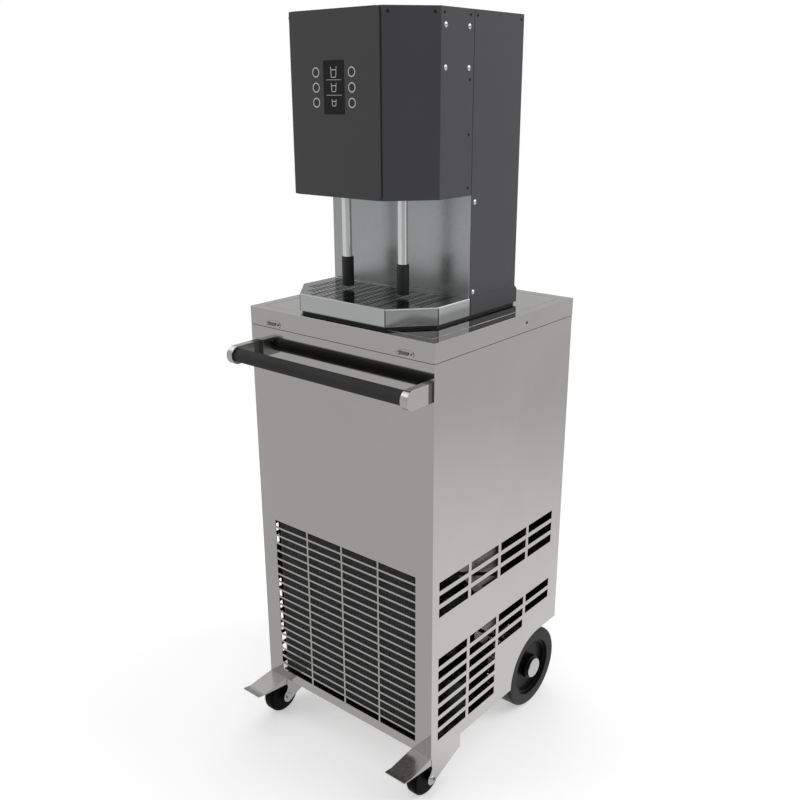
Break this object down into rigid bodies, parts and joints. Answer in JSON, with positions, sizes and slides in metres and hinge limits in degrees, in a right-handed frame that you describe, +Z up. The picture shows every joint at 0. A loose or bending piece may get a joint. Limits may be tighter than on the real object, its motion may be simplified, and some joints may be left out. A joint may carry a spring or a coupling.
{
  "type": "draft beer dispenser",
  "caption": "Wheeled stainless cooling cabinet with a charcoal dispensing tower, rising fill tubes, push buttons and a drip tray.",
  "frame": {"origin": "on the floor under the middle of the part's box", "axes": "+Z up; -Y towards the user, the side with the grip, buttons and tray; +X to the right seen from the front"},
  "size_m": [0.458, 0.561, 1.433],
  "materials": {
    "stainless_sheet": "polished stainless sheet with a slight grain",
    "stainless_tray": "brushed stainless sheet",
    "bright_steel": "polished steel",
    "charcoal_paint": "satin charcoal powder coat",
    "black_plastic": "matte black plastic",
    "grip_foam": "matte soft grip",
    "wheel_rubber": "matte dark grey rubber",
    "button_caps": "dark translucent plastic",
    "label_film": "printed film without lettering",
    "dark_screw_steel": "blackened steel",
    "black_paint": "black paint",
    "aluminium_block": "cast aluminium",
    "copper_pipe": "bare copper tube",
    "circuit_board": "lacquered board"
  },
  "bodies": {
    "cabinet_and_tower": {"front_panel": "stainless_sheet", "left_side_panel": "stainless_sheet", "right_side_panel": "stainless_sheet", "rear_panel": "stainless_sheet", "base_pan": "stainless_sheet", "wheel_arches": "stainless_sheet", "step_brackets": "stainless_sheet", "lid": "stainless_sheet", "latch_plates": "bright_steel", "handle_frame": "stainless_sheet", "handle_spacers": "black_plastic", "handle_grip": "grip_foam", "rear_axle": "bright_steel", "axle_caps": "bright_steel", "front_axle_bolts": "bright_steel", "condenser": "black_paint", "fan_shroud": "stainless_sheet", "fan_motor": "black_paint", "compressor": "black_paint", "cold_block": "aluminium_block", "pipework": "copper_pipe", "power_inlet": "black_plastic", "beer_stems": "bright_steel", "tower_plinth": "black_plastic", "tower_foot": "charcoal_paint", "column_shell": "charcoal_paint", "splash_back": "stainless_tray", "head_shell": "charcoal_paint", "head_floor": "charcoal_paint", "front_plate": "charcoal_paint", "size_label": "label_film", "button_rings": "bright_steel", "control_board": "circuit_board", "dark_screws": "dark_screw_steel", "bright_screws": "bright_steel", "feed_manifold": "bright_steel", "lift_motors": "black_plastic"},
    "left_rear_wheel": {"left_rear_wheel": "wheel_rubber"},
    "right_rear_wheel": {"right_rear_wheel": "wheel_rubber"},
    "left_front_wheel": {"left_front_wheel": "wheel_rubber"},
    "right_front_wheel": {"right_front_wheel": "wheel_rubber"},
    "cooling_fan": {"cooling_fan": "black_plastic"},
    "left_lift": {"left_carriage": "black_plastic", "left_fill_tube": "bright_steel", "left_nozzle": "black_plastic"},
    "right_lift": {"right_carriage": "black_plastic", "right_fill_tube": "bright_steel", "right_nozzle": "black_plastic"},
    "left_lead_screw": {"left_lead_screw": "bright_steel"},
    "right_lead_screw": {"right_lead_screw": "bright_steel"},
    "drip_tray": {"drip_tray": "stainless_tray"},
    "drip_grate": {"drip_grate": "stainless_tray"},
    "left_lid_latch": {"left_lid_latch": "black_plastic"},
    "right_lid_latch": {"right_lid_latch": "black_plastic"},
    "left_large_button": {"left_large_button": "button_caps"},
    "left_medium_button": {"left_medium_button": "button_caps"},
    "left_small_button": {"left_small_button": "button_caps"},
    "right_large_button": {"right_large_button": "button_caps"},
    "right_medium_button": {"right_medium_button": "button_caps"},
    "right_small_button": {"right_small_button": "button_caps"}
  },
  "joints": [
    {"name": "left_rear_wheel_roll", "type": "hinge", "parent": "cabinet_and_tower", "child": "left_rear_wheel", "pos_m": [-0.195, 0.1765, 0.09], "axis": [1, 0, 0], "continuous": true},
    {"name": "left_front_wheel_roll", "type": "hinge", "parent": "cabinet_and_tower", "child": "left_front_wheel", "pos_m": [-0.2015, -0.195, 0.041], "axis": [1, 0, 0], "continuous": true},
    {"name": "right_rear_wheel_roll", "type": "hinge", "parent": "cabinet_and_tower", "child": "right_rear_wheel", "pos_m": [0.195, 0.1765, 0.09], "axis": [1, 0, 0], "continuous": true},
    {"name": "right_front_wheel_roll", "type": "hinge", "parent": "cabinet_and_tower", "child": "right_front_wheel", "pos_m": [0.2015, -0.195, 0.041], "axis": [1, 0, 0], "continuous": true},
    {"name": "cooling_fan_spin", "type": "hinge", "parent": "cabinet_and_tower", "child": "cooling_fan", "pos_m": [0, -0.1285, 0.29], "axis": [0, 1, 0], "continuous": true},
    {"name": "left_lift_rise", "type": "slide", "parent": "cabinet_and_tower", "child": "left_lift", "axis": [0, 0, 1], "range_m": [0, 0.15]},
    {"name": "left_lead_screw_turn", "type": "hinge", "parent": "cabinet_and_tower", "child": "left_lead_screw", "pos_m": [-0.0673, -0.0513, 1.26], "axis": [0, 0, 1], "range_deg": [0, 1080]},
    {"name": "right_lift_rise", "type": "slide", "parent": "cabinet_and_tower", "child": "right_lift", "axis": [0, 0, 1], "range_m": [0, 0.15]},
    {"name": "right_lead_screw_turn", "type": "hinge", "parent": "cabinet_and_tower", "child": "right_lead_screw", "pos_m": [0.0673, -0.0513, 1.26], "axis": [0, 0, 1], "range_deg": [0, 1080]},
    {"name": "left_large_button_press", "type": "slide", "parent": "cabinet_and_tower", "child": "left_large_button", "axis": [0, 1, 0], "range_m": [0, 0.0015], "stiffness_N_per_m": 300, "springref_m": -0.001},
    {"name": "left_medium_button_press", "type": "slide", "parent": "cabinet_and_tower", "child": "left_medium_button", "axis": [0, 1, 0], "range_m": [0, 0.0015], "stiffness_N_per_m": 300, "springref_m": -0.001},
    {"name": "left_small_button_press", "type": "slide", "parent": "cabinet_and_tower", "child": "left_small_button", "axis": [0, 1, 0], "range_m": [0, 0.0015], "stiffness_N_per_m": 300, "springref_m": -0.001},
    {"name": "right_large_button_press", "type": "slide", "parent": "cabinet_and_tower", "child": "right_large_button", "axis": [0, 1, 0], "range_m": [0, 0.0015], "stiffness_N_per_m": 300, "springref_m": -0.001},
    {"name": "right_medium_button_press", "type": "slide", "parent": "cabinet_and_tower", "child": "right_medium_button", "axis": [0, 1, 0], "range_m": [0, 0.0015], "stiffness_N_per_m": 300, "springref_m": -0.001},
    {"name": "right_small_button_press", "type": "slide", "parent": "cabinet_and_tower", "child": "right_small_button", "axis": [0, 1, 0], "range_m": [0, 0.0015], "stiffness_N_per_m": 300, "springref_m": -0.001},
    {"name": "drip_tray_pull", "type": "slide", "parent": "cabinet_and_tower", "child": "drip_tray", "axis": [0, -1, 0], "range_m": [0, 0.16]},
    {"name": "drip_grate_lift", "type": "slide", "parent": "drip_tray", "child": "drip_grate", "axis": [0, 0, 1], "range_m": [0, 0.003]},
    {"name": "left_lid_latch_turn", "type": "hinge", "parent": "cabinet_and_tower", "child": "left_lid_latch", "pos_m": [-0.1748, -0.2028, 0.888], "axis": [0, 1, 0], "range_deg": [0, 90]},
    {"name": "right_lid_latch_turn", "type": "hinge", "parent": "cabinet_and_tower", "child": "right_lid_latch", "pos_m": [0.1498, -0.2028, 0.888], "axis": [0, 1, 0], "range_deg": [0, 90]}
  ],
  "couplings": [
    {"joint": "left_lead_screw_turn", "follows": "left_lift_rise", "rad_per_m": 125.66},
    {"joint": "right_lead_screw_turn", "follows": "right_lift_rise", "rad_per_m": 125.66}
  ]
}
